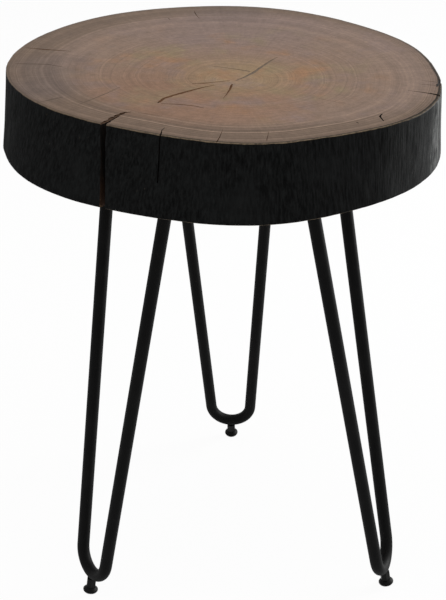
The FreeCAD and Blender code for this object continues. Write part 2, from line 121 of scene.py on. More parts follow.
class Graph:
    """The node graph of a material or a world, with short calls for the nodes used here."""

    def __init__(self, owner: Union[Material, bpy.types.World]) -> None:
        """Start the graph.

        Args:
            owner: the new material or world.
        """
        owner.use_nodes = True
        self.tree = owner.node_tree
        self.shader = self.tree.nodes.get("Principled BSDF")

    def node(self, kind: str, inputs: Optional[Inputs] = None, **settings: object) -> bpy.types.Node:
        """Add a node.

        Args:
            kind: the node's type, without its ShaderNode prefix.
            inputs: values for its inputs, by name or number.
            settings: properties of the node.

        Returns:
            The node.
        """
        made = self.tree.nodes.new("ShaderNode" + kind)
        for key, value in settings.items():
            setattr(made, key, value)
        for key, value in (inputs or {}).items():
            self.feed(made.inputs[key], value)
        return made

    def feed(self, socket: Socket, value: Feed) -> None:
        """Set an input socket, or link it where the value is another node's output.

        Args:
            socket: the input.
            value: a number, a colour, a vector or an output socket.
        """
        if isinstance(value, bpy.types.NodeSocket):
            self.tree.links.new(value, socket)
        elif isinstance(value, tuple) and len(value) == 3 and socket.type == "RGBA":
            socket.default_value = (*value, 1.0)
        else:
            socket.default_value = value

    def set(self, **inputs: Feed) -> None:
        """Set inputs of the shader, by their names with underscores for spaces."""
        for key, value in inputs.items():
            self.feed(self.shader.inputs[key.replace("_", " ").title().replace("Ior", "IOR")], value)

    def math(self, operation: str, first: Feed, second: Feed = 0.0, third: Feed = 0.0) -> Socket:
        """The result of a Math node's operation on numbers or outputs."""
        return self.node("Math", {0: first, 1: second, 2: third}, operation=operation).outputs[0]

    def times(self, first: Feed, second: Feed) -> Socket:
        """The product of two values."""
        return self.math("MULTIPLY", first, second)

    def sway(self, value: Socket, texture: Socket, width: float) -> Socket:
        """A value that wanders with a texture, by half a width to either side."""
        return self.math("MULTIPLY_ADD", texture, width, self.math("ADD", value, -width / 2))

    def about(self, texture: Socket, depth: Feed) -> Socket:
        """A factor near 1: the texture's swing round one half, times a depth."""
        return self.math("MULTIPLY_ADD", self.math("SUBTRACT", texture, 0.5), depth, 1.0)

    def spread(self, value: Socket, low: float, high: float) -> Socket:
        """Stretch the part of a value between two limits to 0 and 1, with soft ends."""
        limits = {"Value": value, "From Min": low, "From Max": high}
        return self.node("MapRange", limits, interpolation_type="SMOOTHSTEP").outputs["Result"]

    def fade(self, value: Socket, low: float, high: float) -> Socket:
        """The opposite of spread: 1 below the lower limit and 0 above the upper one."""
        return self.math("SUBTRACT", 1.0, self.spread(value, low, high))

    def parts(self, vector: Socket) -> Tuple[Socket, ...]:
        """The sockets of a vector's three numbers."""
        return tuple(self.node("SeparateXYZ", {0: vector}).outputs)

    def pair(self, name: str) -> Tuple[Socket, Socket]:
        """The sockets of both numbers of one of the piece's own maps."""
        return self.parts(self.node("UVMap", uv_map=name).outputs["UV"])[:2]

    def place(self, scale: Triple = (1, 1, 1), shift: Triple = (0, 0, 0)) -> Socket:
        """Object coordinates, stretched along each axis and then moved."""
        where = self.node("TexCoord").outputs["Object"]
        return self.node("Mapping", {"Vector": where, "Scale": scale, "Location": shift}).outputs[0]

    def noise(self, grain: Grain, where: Optional[Socket] = None, line: bool = False) -> Socket:
        """Add a noise texture.

        Args:
            grain: the texture.
            where: coordinates to use instead of the grain's own place.
            line: whether the texture varies along one number only.

        Returns:
            The value's socket.
        """
        if where is None:
            where = self.place(grain.stretch, grain.shift)
        looks = {"Scale": grain.scale, "Detail": grain.detail, "Roughness": grain.rough}
        looks["W" if line else "Vector"] = where
        return self.node("TexNoise", looks, noise_dimensions="1D" if line else "3D").outputs["Fac"]

    def mask(self, grain: Grain, texture: Optional[Socket] = None) -> Socket:
        """A grain's mask, from the texture if it is already there."""
        texture = self.noise(grain) if texture is None else texture
        return self.times(self.spread(texture, *grain.span), grain.share)

    def ramp(self, value: Socket, stops: Sequence[Tuple[float, Colour]]) -> Socket:
        """Add a colour ramp.

        Args:
            value: where on the ramp.
            stops: places along the ramp with their colours.

        Returns:
            The colour's socket.
        """
        made = self.node("ValToRGB", {"Fac": value})
        elements = made.color_ramp.elements
        while len(elements) < len(stops):
            elements.new(0.5)
        for element, (position, colour) in zip(elements, stops):
            element.position = position
            element.color = (*colour, 1.0)
        return made.outputs["Color"]

    def mix(self, amount: Feed, under: Feed, over: Feed) -> Socket:
        """Lay one colour over another, by the amount that shows of it."""
        parts = {"Factor": amount, 6: under, 7: over}
        return self.node("Mix", parts, data_type="RGBA").outputs[2]

    def shade(self, colour: Socket, tone: Socket) -> Socket:
        """A colour times a tone."""
        return self.node("VectorMath", {0: colour, 1: tone}, operation="MULTIPLY").outputs["Vector"]

    def bump(
        self, height: Socket, strength: float, distance: float, under: Optional[Socket] = None
    ) -> Socket:
        """Add relief to the surface's shading.

        Args:
            height: the relief's socket.
            strength: how much of it shows.
            distance: how deep it is.
            under: another bump's output that this one lies on.

        Returns:
            The normal's socket.
        """
        inputs = {"Strength": strength, "Distance": distance, "Height": height}
        if under is not None:
            inputs["Normal"] = under
        return self.node("Bump", inputs).outputs["Normal"]

    def in_view(self) -> Socket:
        """Tell the rays that show a surface from those that light others.

        Returns:
            The answer's socket: 1 for a ray from the eye, a reflection or a clear surface, else 0.
        """
        path = self.node("LightPath").outputs
        seen = self.math("MAXIMUM", path["Is Camera Ray"], path["Is Glossy Ray"])
        return self.math("MAXIMUM", seen, path["Is Transmission Ray"])


@dataclass(frozen=True)
class Patch:
    """A broad patch of colour on the end grain, fading from a near to a far radius."""

    colour: Colour
    middle: Point
    near: float
    far: float
    strength: float

    def over(self, graph: Graph, colour: Socket) -> Socket:
        """Lay the patch on.

        Args:
            graph: the material's graph.
            colour: the colour under it.

        Returns:
            The colour's socket.
        """
        away = graph.place(FLAT, (-self.middle[0], -self.middle[1], 0))
        reach = graph.node("VectorMath", {0: away}, operation="LENGTH").outputs["Value"]
        share = graph.fade(reach, self.near, self.far)
        return graph.mix(graph.times(share, self.strength), colour, self.colour)


@dataclass(frozen=True)
class Drift:
    """A faint colour that comes and goes over the end grain."""

    colour: Colour
    grain: Grain
    heart_only: bool


@dataclass(frozen=True)
class EndGrain:
    """Sanded end grain: growth rings round the pith, rays, pores and a greyer sapwood.

    A span holds the limits between which a mask comes in. The rings' grains run from pith to
    rim, and the edge's spans are in millimetres in from the rim.
    """

    pith: Point
    heart: Tuple[Tuple[float, Colour], ...] = (
        (0.0, paint(151, 130, 106)),
        (0.1, paint(150, 127, 104)),
        (0.2, paint(146, 120, 99)),
        (0.4, paint(140, 115, 98)),
        (0.62, paint(138, 116, 101)),
        (1.0, paint(139, 119, 107)),
    )
    patches: Tuple[Patch, ...] = (
        Patch(paint(137, 106, 86), (-0.055, -0.085), 0.02, 0.13, 0.8),
        Patch(paint(134, 115, 108), (0.02, 0.13), 0.03, 0.14, 0.7),
        Patch(paint(147, 114, 93), (0.02, -0.095), 0.02, 0.08, 0.5),
        Patch(paint(151, 129, 97), (0.018, -0.022), 0.012, 0.07, 0.55),
    )
    drifts: Tuple[Drift, ...] = (
        Drift(paint(156, 118, 88), Grain(19.0, 3.0, 0.6, FLAT), True),
        Drift(paint(138, 123, 95), Grain(17.0, 3.0, 0.6, FLAT, (1.3, 0.4, 0)), True),
        Drift(paint(134, 115, 108), Grain(21.0, 3.0, 0.6, FLAT, (0.2, 2.6, 0)), False),
    )
    drift_span: Point = (0.50, 0.72)
    drift_share: float = 0.7
    heart_span: Point = (0.5, 0.85)
    heart_share: float = 0.8
    sapwood: Colour = paint(115, 97, 83)
    sap_sway: float = 0.7
    sap_span: Point = (0.05, 0.95)
    sap_share: float = 0.92
    bruises: Tuple[Patch, ...] = (
        Patch(paint(106, 93, 88), (-0.151, -0.049), 0.008, 0.052, 0.6),
        Patch(paint(106, 93, 88), (0.011, 0.173), 0.015, 0.05, 0.35),
        Patch(paint(106, 93, 88), (-0.149, 0.011), 0.015, 0.05, 0.45),
    )
    wander: Grain = Grain(8.0)
    ring_sway: float = 0.08
    fine: Grain = Grain(61.2, 3.0, 0.65, share=0.36)
    hair: Grain = Grain(165.6, 2.0, 0.6, share=0.9)
    bold: Grain = Grain(32.4, 2.0, 0.6, share=1.3)
    broad: Grain = Grain(18.0, 2.0, 0.6, share=0.36)
    rays: Grain = Grain(60.0, 3.0, 0.65, share=0.24)
    mottle: Grain = Grain(70.0, 5.0, 0.65, share=0.56)
    fleck: Grain = Grain(260.0, 3.0, 0.6, span=(0.25, 0.6), share=0.50)
    pores: Grain = Grain(900.0, 3.0, 0.7, share=0.50)
    edge_sway: float = 1.6
    # dark band just inside the top's edge: stain soaked into the end grain, and a painted shadow line
    stain: Colour = paint(36, 31, 26)
    soak_and_shadow_span: Point = (1.3, 2.5)
    # pale line at the top's edge: bare wood where the stain is worn off, and a painted edge highlight
    bare_and_highlight: Colour = paint(138, 121, 98)
    bare_and_highlight_span: Point = (-0.1, 0.5)
    black: Colour = paint(16, 15, 14)
    black_span: Point = (-0.9, -0.5)
    shine: float = 0.05
    rough: float = 0.50
    rough_rings: float = 0.12
    pore_relief: Point = (0.15, 0.4 * MM)
    ring_relief: Point = (0.12, 0.6 * MM)

    def material(self) -> Material:
        """Make the material.

        Returns:
            The finished material.
        """
        material = bpy.data.materials.new("end_grain")
        graph = Graph(material)
        ratio, sap = graph.pair("rings")
        wear_and_highlight, soak_and_shadow = graph.pair("rim")
        inside, vivid = graph.pair("edge")
        flat = graph.place(FLAT, (-self.pith[0], -self.pith[1], 0))
        turn = graph.node("VectorMath", {0: flat}, operation="NORMALIZE").outputs["Vector"]

        warped = graph.sway(ratio, graph.noise(self.wander, flat), self.ring_sway)
        along = (self.fine, self.hair, self.bold, self.broad)
        fine, hair, bold, broad = (graph.noise(grain, warped, line=True) for grain in along)
        over = (self.mottle, self.fleck, self.pores)
        mottle, fleck, pores = (graph.noise(grain, flat) for grain in over)
        rays = graph.noise(self.rays, turn)

        colour = graph.ramp(warped, self.heart)
        for patch in self.patches:
            colour = patch.over(graph, colour)
        inner = graph.times(graph.fade(warped, *self.heart_span), self.heart_share)
        for drift in self.drifts:
            mask = graph.spread(graph.noise(drift.grain), *self.drift_span)
            amount = inner if drift.heart_only else self.drift_share
            colour = graph.mix(graph.times(mask, amount), colour, drift.colour)
        greyed = graph.spread(graph.sway(sap, broad, self.sap_sway), *self.sap_span)
        colour = graph.mix(graph.times(greyed, self.sap_share), colour, self.sapwood)
        for bruise in self.bruises:
            colour = bruise.over(graph, colour)

        sharp = graph.times(greyed, vivid)
        deep = graph.math("ADD", sharp, self.fine.share)
        tone = graph.about(fine, deep)
        layers = (
            (hair, graph.times(deep, self.hair.share)),
            (bold, graph.times(sharp, self.bold.share)),
            (broad, self.broad.share),
            (rays, self.rays.share),
            (mottle, self.mottle.share),
            (fleck, self.fleck.share),
            (pores, self.pores.share),
        )
        for texture, depth in layers:
            tone = graph.times(tone, graph.about(texture, depth))
        colour = graph.shade(colour, tone)

        edge = graph.sway(inside, mottle, self.edge_sway)
        # the dark band inside the edge: partly soaked stain, partly a painted shadow line
        soaked_and_shaded = graph.times(graph.fade(edge, *self.soak_and_shadow_span), soak_and_shadow)
        colour = graph.mix(soaked_and_shaded, colour, self.stain)
        # the pale flecked line at the arris: partly worn bare wood, partly a painted edge highlight
        paler = graph.times(graph.fade(edge, *self.bare_and_highlight_span), wear_and_highlight)
        colour = graph.mix(graph.times(paler, graph.spread(fleck, *self.fleck.span)), colour, self.bare_and_highlight)
        colour = graph.mix(graph.fade(edge, *self.black_span), colour, self.black)

        graph.set(base_color=colour, specular_ior_level=self.shine)
        graph.set(roughness=graph.math("MULTIPLY_ADD", fine, self.rough_rings, self.rough))
        relief = graph.bump(pores, *self.pore_relief)
        graph.set(normal=graph.bump(fine, *self.ring_relief, relief))
        return material


@dataclass(frozen=True)
class StainedRim:
    """The trunk's outside under a near-black stain, with upright fibres and small scuffs.

    Between two bearings on the right a painted sheen, pale and streaked, lies over the stain, with a
    faint lead-in before the first.
    """

    dark: Colour = paint(11, 11, 11)
    pale: Colour = paint(36, 37, 37)
    scuff: Colour = paint(70, 64, 55)
    # painted sheen: the pale colour of the strip on the rim's right side
    painted_sheen: Colour = paint(110, 111, 110)
    fibre: Grain = Grain(560.0, 4.0, 0.7, (1, 1, 0.07), span=(0.30, 0.74))
    strands: Grain = Grain(110.0, 4.0, 0.6, (1, 1, 0.09))
    blotch: Grain = Grain(24.0, 4.0, 0.6, span=(0.45, 0.75), share=0.6)
    nick: Grain = Grain(240.0, 3.0, 0.75, (1, 1, 0.3), span=(0.68, 0.78), share=0.7)
    # the streaks and the patches of the painted sheen
    streak: Grain = Grain(640.0, 4.0, 0.75, (1, 1, 0.13), span=(0.34, 0.66))
    paler: Grain = Grain(95.0, 3.0, 0.6, (1, 1, 0.45), span=(0.22, 0.60))
    wander: Grain = Grain(90.0, 4.0, 0.7, (1, 1, 0.3))
    wander_radians: float = 0.2
    # the painted sheen: its faint lead-in share, and the bearings where it leads in, rises and ends
    faint: float = 0.10
    faint_start: Point = (-54.0, -42.0)
    sheen_start: Point = (-32.0, -26.0)
    sheen_end: Point = (-8.0, -2.0)
    shine: float = 0.04
    rough: float = 0.58
    rough_swing: float = 0.30
    strand_relief: Point = (0.5, 1.6 * MM)
    blotch_relief: Point = (0.6, 4.0 * MM)
    fibre_relief: Point = (0.55, 0.7 * MM)

    def painted_sheen_share(self, graph: Graph) -> Socket:
        """Where the painted sheen lies on the rim's right side.

        Args:
            graph: the material's graph.

        Returns:
            The share's socket: faint at first, then 1 along a strip, and 0 past its end.
        """
        across, along, _ = graph.parts(graph.place())
        bearing = graph.math("ARCTAN2", along, across)
        bearing = graph.sway(bearing, graph.noise(self.wander), self.wander_radians)
        early, start, end = (
            [math.radians(angle) for angle in span]
            for span in (self.faint_start, self.sheen_start, self.sheen_end)
        )
        lead = graph.times(graph.spread(bearing, *early), self.faint)
        rise = graph.math("MULTIPLY_ADD", graph.spread(bearing, *start), 1.0 - self.faint, lead)
        return graph.times(rise, graph.fade(bearing, *end))

    def material(self) -> Material:
        """Make the material.

        Returns:
            The finished material.
        """
        material = bpy.data.materials.new("stained_rim")
        graph = Graph(material)
        grains = (self.fibre, self.strands, self.blotch)
        fibre, strands, blotch = (graph.noise(grain) for grain in grains)
        colour = graph.mix(graph.mask(self.fibre, fibre), self.dark, self.pale)
        colour = graph.mix(graph.mask(self.blotch, blotch), colour, self.pale)
        colour = graph.mix(graph.mask(self.nick), colour, self.scuff)
        # painted sheen: a streaked, patchy pale strip on the rim's right side
        sheen_streaks = graph.times(graph.mask(self.streak), graph.mask(self.paler))
        colour = graph.mix(graph.times(self.painted_sheen_share(graph), sheen_streaks), colour, self.painted_sheen)
        graph.set(base_color=colour, specular_ior_level=self.shine)
        rough = graph.math("MULTIPLY_ADD", strands, self.rough_swing, self.rough)
        graph.set(roughness=graph.math("MULTIPLY_ADD", blotch, self.rough_swing, rough))
        relief = graph.bump(strands, *self.strand_relief)
        relief = graph.bump(blotch, *self.blotch_relief, relief)
        graph.set(normal=graph.bump(fibre, *self.fibre_relief, relief))
        return material


class Wall(Enum):
    """What shows inside a crack: its darkest and its lightest colour."""

    STAINED = (paint(12, 10, 8), paint(32, 24, 19))
    DUSTY = (paint(56, 41, 31), paint(96, 72, 54))
    TORN = (paint(88, 58, 38), paint(112, 80, 56))
    GREY = (paint(106, 93, 82), paint(121, 107, 95))
    PALE = (paint(160, 138, 118), paint(186, 164, 142))


@dataclass(frozen=True)
class CrackWall:
    """The torn wood inside a crack. Low down, past the stain's reach, it is raw and splintered."""

    fibre: Grain = Grain(300.0, 3.0, 0.6, (1, 1, 0.08), span=(0.35, 0.75))
    raw: Colour = paint(54, 36, 25)
    raw_share: float = 0.8
    raw_heights: Point = (0.456, 0.472)
    raw_sway: float = 0.02
    splinter: Colour = paint(104, 82, 58)
    splinters: Grain = Grain(420.0, 2.0, 0.6, (1, 1, 0.4), span=(0.60, 0.70))
    shine: float = 0.1
    rough: float = 0.85
    relief: Point = (0.5, 0.8 * MM)

    def material(self, wall: Wall) -> Material:
        """Make the material.

        Args:
            wall: the colours inside the crack.

        Returns:
            The finished material.
        """
        deep, torn = wall.value
        material = bpy.data.materials.new(f"crack_{wall.name.lower()}")
        graph = Graph(material)
        fibre = graph.noise(self.fibre)
        colour = graph.mix(graph.mask(self.fibre, fibre), deep, torn)
        if wall is Wall.STAINED:
            height = graph.parts(graph.place())[2]
            raw = graph.fade(graph.sway(height, fibre, self.raw_sway), *self.raw_heights)
            colour = graph.mix(graph.times(raw, self.raw_share), colour, self.raw)
            colour = graph.mix(graph.times(raw, graph.mask(self.splinters)), colour, self.splinter)
        graph.set(base_color=colour, specular_ior_level=self.shine, roughness=self.rough)
        graph.set(normal=graph.bump(fibre, *self.relief))
        return material


@dataclass(frozen=True)
class Coating:
    """An even coating with a slightly rough skin."""

    name: str
    shade: Colour
    paler: Colour
    rough: float
    skin: float
    shine: float
    metal: float = 0.0
    cloud: Grain = Grain(38.0, 3.0, 0.55, span=(0.35, 0.8))
    rough_swing: float = 0.12
    grain: Grain = Grain(1500.0, 2.0, 0.6)
    skin_depth: float = 0.15 * MM

    def material(self) -> Material:
        """Make the material.

        Returns:
            The finished material.
        """
        material = bpy.data.materials.new(self.name)
        graph = Graph(material)
        cloud = graph.noise(self.cloud)
        graph.set(base_color=graph.mix(graph.mask(self.cloud, cloud), self.shade, self.paler))
        smoothest = self.rough - self.rough_swing / 2
        graph.set(roughness=graph.math("MULTIPLY_ADD", cloud, self.rough_swing, smoothest))
        graph.set(metallic=self.metal, specular_ior_level=self.shine)
        graph.set(normal=graph.bump(graph.noise(self.grain), self.skin, self.skin_depth))
        return material


def blank(
    name: str, build: BMesh, materials: Iterable[Material], sharp: float = 38.0
) -> Piece:
    """Turn a bmesh into an object at the origin, smooth but for its sharp edges.

    Args:
        name: the piece's name.
        build: the bmesh, which is freed.
        materials: the piece's materials, in slot order.
        sharp: the angle past which an edge shows as a crease.

    Returns:
        The object.
    """
    mesh = bpy.data.meshes.new(name)
    build.to_mesh(mesh)
    build.free()
    piece = bpy.data.objects.new(name, mesh)
    bpy.context.scene.collection.objects.link(piece)
    for material in materials:
        mesh.materials.append(material)
    mesh.shade_smooth()
    mesh.set_sharp_from_angle(angle=math.radians(sharp))
    return piece


def pull_out(
    build: BMesh, edges: Sequence[bmesh.types.BMEdge]
) -> Tuple[List[bmesh.types.BMVert], List[bmesh.types.BMEdge]]:
    """Extrude a loop of edges in place.

    Args:
        build: the bmesh.
        edges: the loop.

    Returns:
        The new loop's vertices and edges.
    """
    geometry = bmesh.ops.extrude_edge_only(build, edges=edges)["geom"]
    verts = [item for item in geometry if isinstance(item, bmesh.types.BMVert)]
    fresh = set(verts)
    loop = [
        item
        for item in geometry
        if isinstance(item, bmesh.types.BMEdge) and item.verts[0] in fresh and item.verts[1] in fresh
    ]
    return verts, loop


class RoundCurve:
    """A smooth closed curve through values given at even steps of bearing."""

    def __init__(self, values: Sequence[float]) -> None:
        """Fit the curve: find its second derivative at each value.

        Args:
            values: the values, anticlockwise from +X.
        """
        self.values = list(values)
        turn, each = np.asarray(values, float), np.eye(len(values))
        system = 4.0 * each + np.roll(each, 1, axis=1) + np.roll(each, -1, axis=1)
        right = 6.0 * (np.roll(turn, -1) - 2.0 * turn + np.roll(turn, 1))
        self.bends = np.linalg.solve(system, right)

    def at(self, bearing: float) -> float:
        """The curve's value.

        Args:
            bearing: the bearing.

        Returns:
            The value there.
        """
        count = len(self.values)
        along = (bearing % 360.0) / 360.0 * count
        first = int(along) % count
        second = (first + 1) % count
        t = along - int(along)
        s = 1.0 - t
        curve = (s**3 - s) * self.bends[first] + (t**3 - t) * self.bends[second]
        return s * self.values[first] + t * self.values[second] + curve / 6.0


@dataclass(frozen=True)
class Crack:
    """A crack seen from above, in millimetres: points, each with the crack's width there.

    The lean tilts it off the upright, the floor is the share of its width left at its depth,
    and ragged is how far its sides stray.
    """

    line: Tuple[Triple, ...]
    depth: float
    wall: Wall = Wall.TORN
    lean: float = 0.0
    floor: float = 0.35
    ragged: float = 0.25


@dataclass
class TrunkSlab:
    """The slab: end grain above, a stained natural rim, and the cracks of a dried trunk.

    The tuples that go once round hold a value each 20 degrees, anticlockwise from +X: swells
    and widths in millimetres, the others as shares.
    """

    cracks: Tuple[Crack, ...]
    top: float = 508 * MM
    thick: float = 64 * MM
    radius: float = 190 * MM
    ease: float = 1.2 * MM
    spare: float = 0.02 * MM
    pith: Point = (14.6 * MM, -38.5 * MM)
    columns: int = 360
    top_rows: int = 60
    side_rows: int = 24
    under_rows: int = 10
    over_angles: Values = (25.0, 50.0, 75.0)
    under_angles: Values = (60.0, 30.0, 0.0)
    past_per_degree: float = 0.001
    side_share: float = 1.1
    grain_limit: float = 1.08
    round_over: float = 14.0
    sap_blend: float = 30.0
    crease: float = 50.0
    ripples: Tuple[Triple, ...] = ((9.0, 1.3, 0.30 * MM), (34.0, 2.0, 0.25 * MM))
    crack_step: float = 2.5
    hairline: float = 0.08
    crack_lid: float = 2.0 * MM
    seed: int = 11
    top_swell: Values = (
        1, -2, -5, -1, 4.5, 6, 9, 8, 5, -0.5, -9.5, -17.5, -21.5, -14.5, -0.5, 4.5, 15, 10.5,
    )
    low_swell: Values = (
        5, 0, -3, 1, 7.5, 10.5, 10, 10.5, 8.5, 5.5, 4, 2, -1.5, 2.5, 12, 12.5, 15, 12.5,
    )
    sap_width: Values = (
        6, 8, 11, 17, 24, 28, 33, 36, 38, 44, 46, 42, 34, 32, 36, 30, 20, 8,
    )
    # share of the pale arris line, partly worn bare wood and partly a painted edge highlight
    edge_wear_and_highlight: Values = (
        0.15, 0.1, 0.05, 0.0, 0.0, 0.0, 0.0, 0.05, 0.1, 0.2, 0.35, 0.45, 0.5, 0.8, 0.9, 0.8, 0.5, 0.2,
    )
    # share of the dark band inside the edge, partly soaked stain and partly a painted shadow line
    edge_soak_and_shadow: Values = (
        0.9, 0.5, 0.4, 0.4, 0.4, 0.4, 0.3, 0.2, 0.15, 0.15, 0.2, 0.3, 0.5, 0.8, 0.8, 0.8, 1.0, 1.0,
    )
    ring_depth: Values = (
        0.5, 0.4, 0.4, 0.4, 0.4, 0.4, 0.4, 0.35, 0.3, 0.3, 0.35, 0.6, 1.0, 1.2, 1.2, 1.2, 1.1, 0.8,
    )

    def __post_init__(self) -> None:
        """Fit the curves that go round the rim."""
        self.upper = RoundCurve(self.top_swell)
        self.lower = RoundCurve(self.low_swell)
        self.sap = RoundCurve(self.sap_width)
        self.wear_and_highlight = RoundCurve(self.edge_wear_and_highlight)
        self.soak_and_shadow = RoundCurve(self.edge_soak_and_shadow)
        self.vivid = RoundCurve(self.ring_depth)

    def rim(self, bearing: float, down: float, drawn_in: float = 0.0) -> Vector:
        """A point of the natural rim.

        Args:
            bearing: the bearing round the slab.
            down: how far down the side, 0 to 1.
            drawn_in: how far in from the rim.

        Returns:
            The point, at floor level and inside the solids' box.
        """
        swell = self.upper.at(bearing) * (1.0 - down) + self.lower.at(bearing) * down
        angle = math.radians(bearing)
        x, y = math.cos(angle), math.sin(angle)
        reach = self.radius + swell * MM - drawn_in
        for around, along, depth in self.ripples:
            reach -= depth * noise.noise(Vector((x * around, y * around, down * along)))
        spot = Vector((x * reach, y * reach, 0.0))
        for axis in (0, 1):
            low, high = CAD_BOX[0][axis] + self.spare, CAD_BOX[1][axis] - self.spare
            spot[axis] = min(max(spot[axis], low), high)
        return spot

    def rounding(self, angles: Values, down: float) -> List[Row]:
        """The loops of a rounded edge.

        Args:
            angles: how far round each loop is, 0 on the flat.
            down: 0 for the top's edge and 1 for the underside's.

        Returns:
            The loops, as rows gives them.
        """
        loops = []
        for angle in angles:
            turn = math.radians(angle)
            inset, drop = self.ease * (1.0 - math.sin(turn)), self.ease * (1.0 - math.cos(turn))
            height = self.top - self.thick + drop if down else self.top - drop
            loops.append((1.0 + angle * self.past_per_degree, down, inset, height))
        return loops

    def rows(self) -> List[Row]:
        """Each loop of the slab's mesh, from the pith over the edge to the middle of the underside.

        Returns:
            For each loop: its share of the way out from the pith, more than 1 past the top's
            edge, how far down the side it is, how far in from the rim, and its height.
        """
        low = self.top - self.thick
        rows = [(step / self.top_rows, 0.0, self.ease, self.top) for step in range(1, self.top_rows + 1)]
        rows += self.rounding(self.over_angles, 0.0)
        for step in range(self.side_rows + 1):
            down = step / self.side_rows
            height = (self.top - self.ease) * (1.0 - down) + (low + self.ease) * down
            rows.append((self.side_share, down, 0.0, height))
        rows += self.rounding(self.under_angles, 1.0)
        for step in range(1, self.under_rows + 1):
            rows.append((1.0 - step / self.under_rows, 1.0, self.ease, low))
        return rows

    def shell(self, grain: Material, stain: Material) -> Piece:
        """Build the whole slab, before its cracks.

        Args:
            grain: the end grain.
            stain: the rim.

        Returns:
            The slab's object.
        """
        build = bmesh.new()
        bearing, share, sapwood, inward = (
            build.verts.layers.float.new(name) for name in ("bearing", "share", "sapwood", "inward")
        )
        ring = bmesh.ops.create_circle(build, segments=self.columns, radius=self.radius)["verts"]
        for vert in ring:
            vert[bearing] = math.degrees(math.atan2(vert.co.y, vert.co.x)) % 360.0
            vert.co = Vector((*self.pith, self.top))
        loop = list(build.edges)
        centre = Vector((*self.pith, 0.0))
        for ratio, down, drawn_in, height in self.rows():
            verts, loop = pull_out(build, loop)
            for vert in verts:
                edge = self.rim(vert[bearing], down, drawn_in)
                out = min(ratio, 1.0)
                vert.co = centre.lerp(edge, out)
                vert.co.z = height
                inside = (1.0 - out) * (edge - centre).length / MM
                inside -= max(0.0, ratio - 1.0) * self.round_over
                greyed = 0.5 + (self.sap.at(vert[bearing]) - inside) / self.sap_blend
                vert[share] = ratio
                vert[inward] = inside
                vert[sapwood] = min(1.0, max(0.0, greyed))
        bmesh.ops.remove_doubles(build, verts=build.verts, dist=MERGE)
        bmesh.ops.recalc_face_normals(build, faces=build.faces)
        rings, rims, edges = (build.loops.layers.uv.new(name) for name in ("rings", "rim", "edge"))
        for face in build.faces:
            face.material_index = 0 if max(vert[share] for vert in face.verts) <= self.grain_limit else 1
            for corner in face.loops:
                vert = corner.vert
                corner[rings].uv = (vert[share], vert[sapwood])
                corner[rims].uv = (self.wear_and_highlight.at(vert[bearing]), self.soak_and_shadow.at(vert[bearing]))
                corner[edges].uv = (vert[inward], self.vivid.at(vert[bearing]))
        return blank("trunk_slab", build, (grain, stain), self.crease)

    def cutter(self, crack: Crack, chance: random.Random, build: BMesh) -> None:
        """Add the solid that one crack takes out of the slab.

        Args:
            crack: the crack.
            chance: where its ragged edges come from.
            build: the bmesh that it is added to.
        """
        points = [Vector(point) for point in crack.line]
        path: List[Vector] = []
        for start, end in zip(points, points[1:]):
            steps = max(2, int((end - start).xy.length / self.crack_step))
            path += [start.lerp(end, step / steps) for step in range(steps)]
        path.append(points[-1])
        sides: Tuple[List[Vector], List[Vector]] = ([], [])
        for index, place in enumerate(path):
            before, after = path[max(0, index - 1)], path[min(len(path) - 1, index + 1)]
            across = (after - before).xy.normalized().orthogonal()
            for side, sign in zip(sides, (1.0, -1.0)):
                jag = 1.0 + chance.uniform(-crack.ragged, crack.ragged)
                side.append(place.xy + across * sign * max(place.z, self.hairline) / 2 * jag)
        outline = sides[0] + sides[1][::-1]
        middle = [place.xy for place in path + path[::-1]]
        lid = build.faces.new(
            build.verts.new((spot.x * MM, spot.y * MM, self.top + self.crack_lid)) for spot in outline
        )
        grown = bmesh.ops.extrude_face_region(build, geom=[lid])["geom"]
        below = [item for item in grown if isinstance(item, bmesh.types.BMVert)]
        slip = math.tan(math.radians(crack.lean)) * crack.depth
        along = (points[0] - points[-1]).xy.normalized().orthogonal() * slip
        for vert in below:
            flat = Vector((vert.co.x / MM, vert.co.y / MM))
            spot, core = min(zip(outline, middle), key=lambda pair: (pair[0] - flat).length_squared)
            low = core.lerp(spot, crack.floor) + along
            vert.co = Vector((low.x * MM, low.y * MM, self.top - crack.depth * MM))

    def split(self, slab: Piece) -> None:
        """Open the cracks.

        Args:
            slab: the slab's object.
        """
        chance = random.Random(self.seed)
        walls = {wall: CrackWall().material(wall) for wall in Wall}
        for number, crack in enumerate(self.cracks):
            build = bmesh.new()
            self.cutter(crack, chance, build)
            bmesh.ops.recalc_face_normals(build, faces=build.faces)
            knife = blank(f"crack_{number}", build, (walls[crack.wall],))
            opening = slab.modifiers.new(f"crack_{number}", "BOOLEAN")
            opening.operation = "DIFFERENCE"
            opening.solver = "EXACT"
            opening.material_mode = "TRANSFER"
            opening.object = knife
        graph = bpy.context.evaluated_depsgraph_get()
        cut = bpy.data.meshes.new_from_object(slab.evaluated_get(graph))
        knives = [modifier.object for modifier in slab.modifiers]
        slab.modifiers.clear()
        slab.data = cut
        cut.set_sharp_from_angle(angle=math.radians(self.crease))
        for knife in knives:
            bpy.data.objects.remove(knife)

    def build(self) -> Piece:
        """Build the slab and set it on the table.

        Returns:
            The slab's object.
        """
        slab = self.shell(EndGrain(self.pith).material(), StainedRim().material())
        self.split(slab)
        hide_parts("slab_top")
        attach(slab, "table")
        return slab


